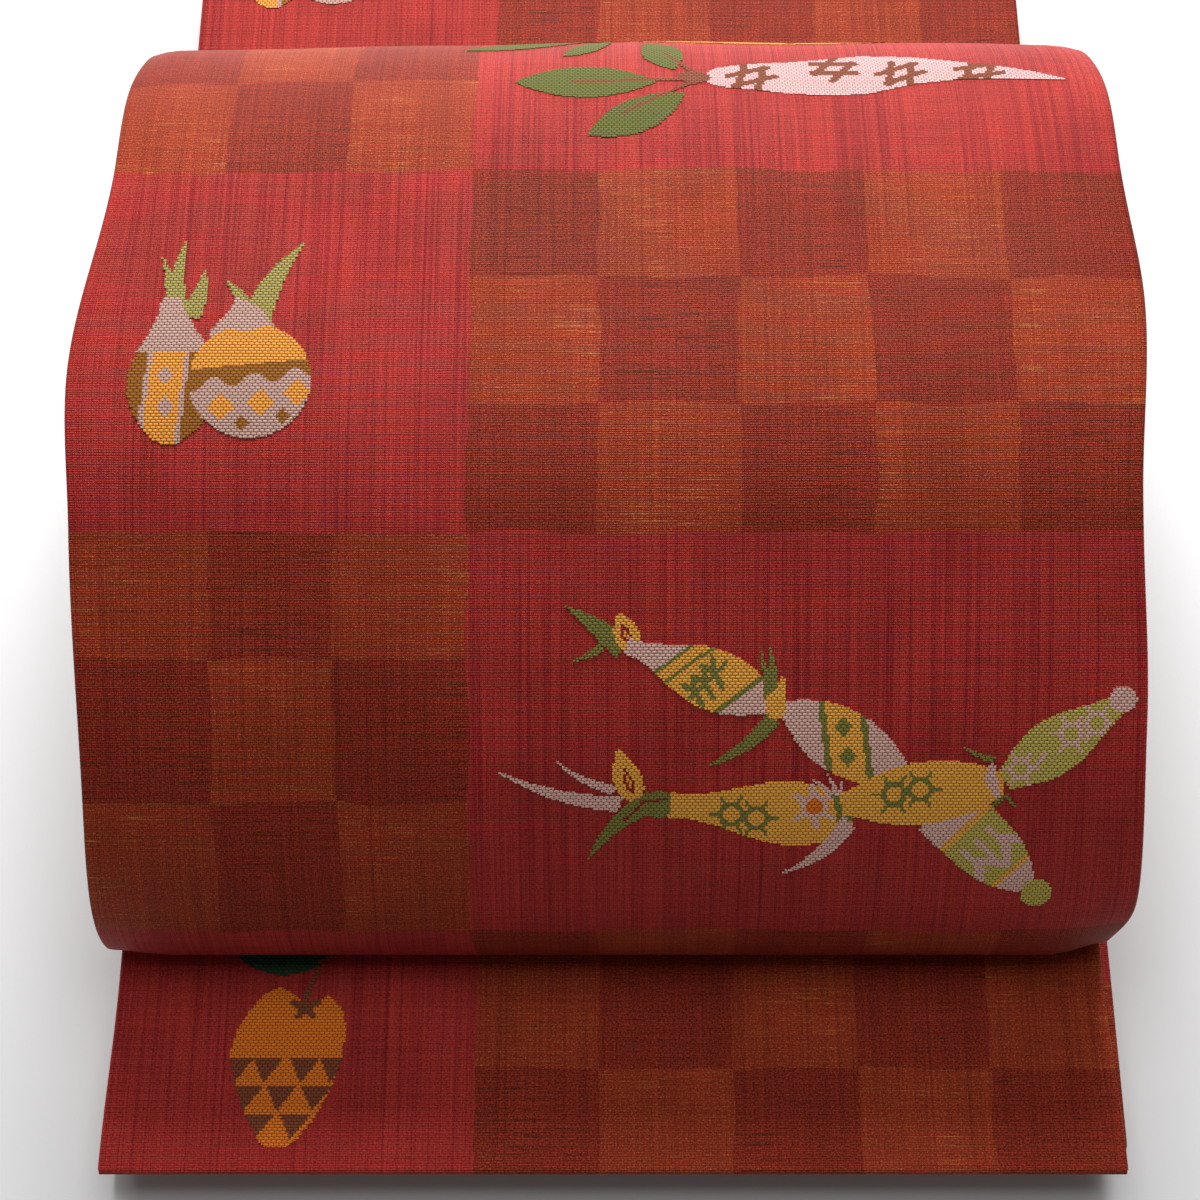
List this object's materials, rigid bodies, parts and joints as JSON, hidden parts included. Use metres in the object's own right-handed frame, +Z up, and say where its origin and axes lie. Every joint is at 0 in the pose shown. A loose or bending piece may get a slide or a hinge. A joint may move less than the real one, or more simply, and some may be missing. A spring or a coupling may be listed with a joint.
{
  "type": "folded brocade obi",
  "caption": "Lined woven sash folded into a rounded drum over a wadding roll, with a tare flap in front and the rest of its length folded flat beneath.",
  "frame": {"origin": "middle of the underside that the folded obi lies on", "axes": "+Z up, -Y towards the tare's free end, X across the width"},
  "size_m": [0.307, 0.46, 0.1332],
  "materials": {
    "brocade": "figured silk brocade, checks and plain red",
    "interlining": "plain stiff cotton",
    "lining": "plain silk",
    "seam_thread": "silk sewing thread",
    "gauze": "loose cotton gauze",
    "wadding": "cotton wadding"
  },
  "bodies": {
    "folded_rest": {"rest_face_cloth": "brocade", "rest_interlining": "interlining", "rest_lining": "lining", "rest_left_seam": "seam_thread", "rest_right_seam": "seam_thread", "plain_end_hem": "seam_thread"},
    "drum": {"drum_face_cloth": "brocade", "drum_interlining": "interlining", "drum_lining": "lining", "drum_left_seam": "seam_thread", "drum_right_seam": "seam_thread", "wadding_roll": "wadding", "roll_gauze": "gauze"},
    "tare": {"tare_face_cloth": "brocade", "tare_interlining": "interlining", "tare_lining": "lining", "tare_left_seam": "seam_thread", "tare_right_seam": "seam_thread", "tare_end_hem": "seam_thread"}
  },
  "joints": [
    {"name": "drum_lift", "type": "hinge", "parent": "folded_rest", "child": "drum", "pos_m": [0, 0.2, 0.0234], "axis": [-1, 0, 0], "range_deg": [0, 90]},
    {"name": "tare_lift", "type": "hinge", "parent": "drum", "child": "tare", "pos_m": [0, -0.17, 0.0234], "axis": [-1, 0, 0], "range_deg": [0, 80]}
  ]
}
